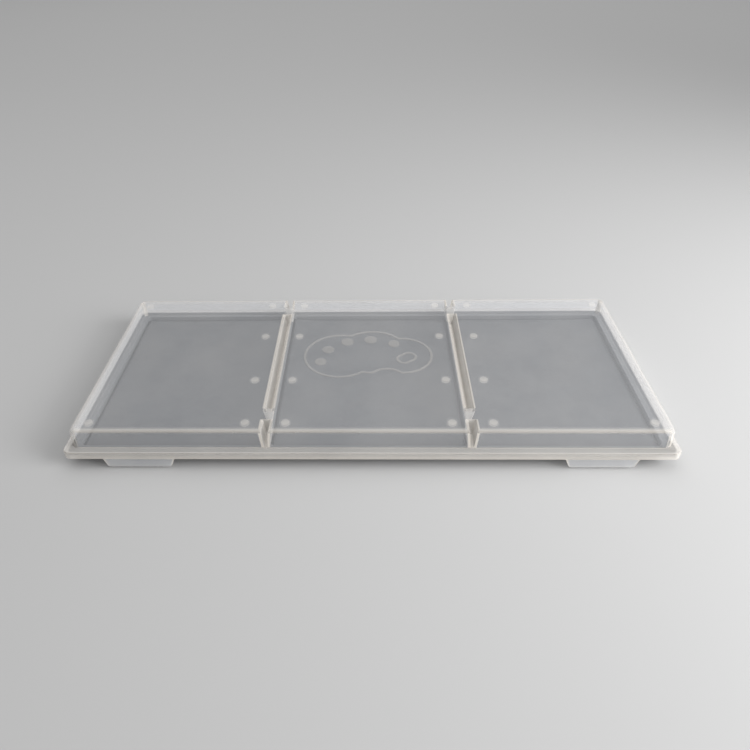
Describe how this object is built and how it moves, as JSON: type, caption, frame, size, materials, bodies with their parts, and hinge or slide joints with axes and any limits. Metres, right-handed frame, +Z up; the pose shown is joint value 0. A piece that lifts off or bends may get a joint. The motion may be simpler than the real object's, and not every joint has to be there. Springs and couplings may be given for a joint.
{
  "type": "wet palette",
  "caption": "Shallow wet palette with wells for sponge and paper under a translucent cover with ledge, skirt, finger tabs and dividing grooves.",
  "frame": {"origin": "centre of the footprint, on the surface that the tray stands on", "axes": "+X along the palette's long side, +Y from the front long side to the back, +Z up through the cover's flat top"},
  "size_m": [0.3414, 0.1516, 0.0223],
  "materials": {
    "frosted_plastic": "frosted translucent polypropylene with bright edges",
    "tray_plastic": "fine spark-eroded texture",
    "sponge": "wet open-cell sponge",
    "palette_paper": "damp palette paper, dark from the wet sponge under it"
  },
  "bodies": {
    "base": {"base_tray": "tray_plastic", "sponge_left": "sponge", "sponge_centre": "sponge", "sponge_right": "sponge", "paper_left": "palette_paper", "paper_centre": "palette_paper", "paper_right": "palette_paper"},
    "cover": {"cover": "frosted_plastic"}
  },
  "joints": [
    {"name": "cover_lift", "type": "slide", "parent": "base", "child": "cover", "axis": [0, 0, 1], "range_m": [0, 0.06]}
  ]
}
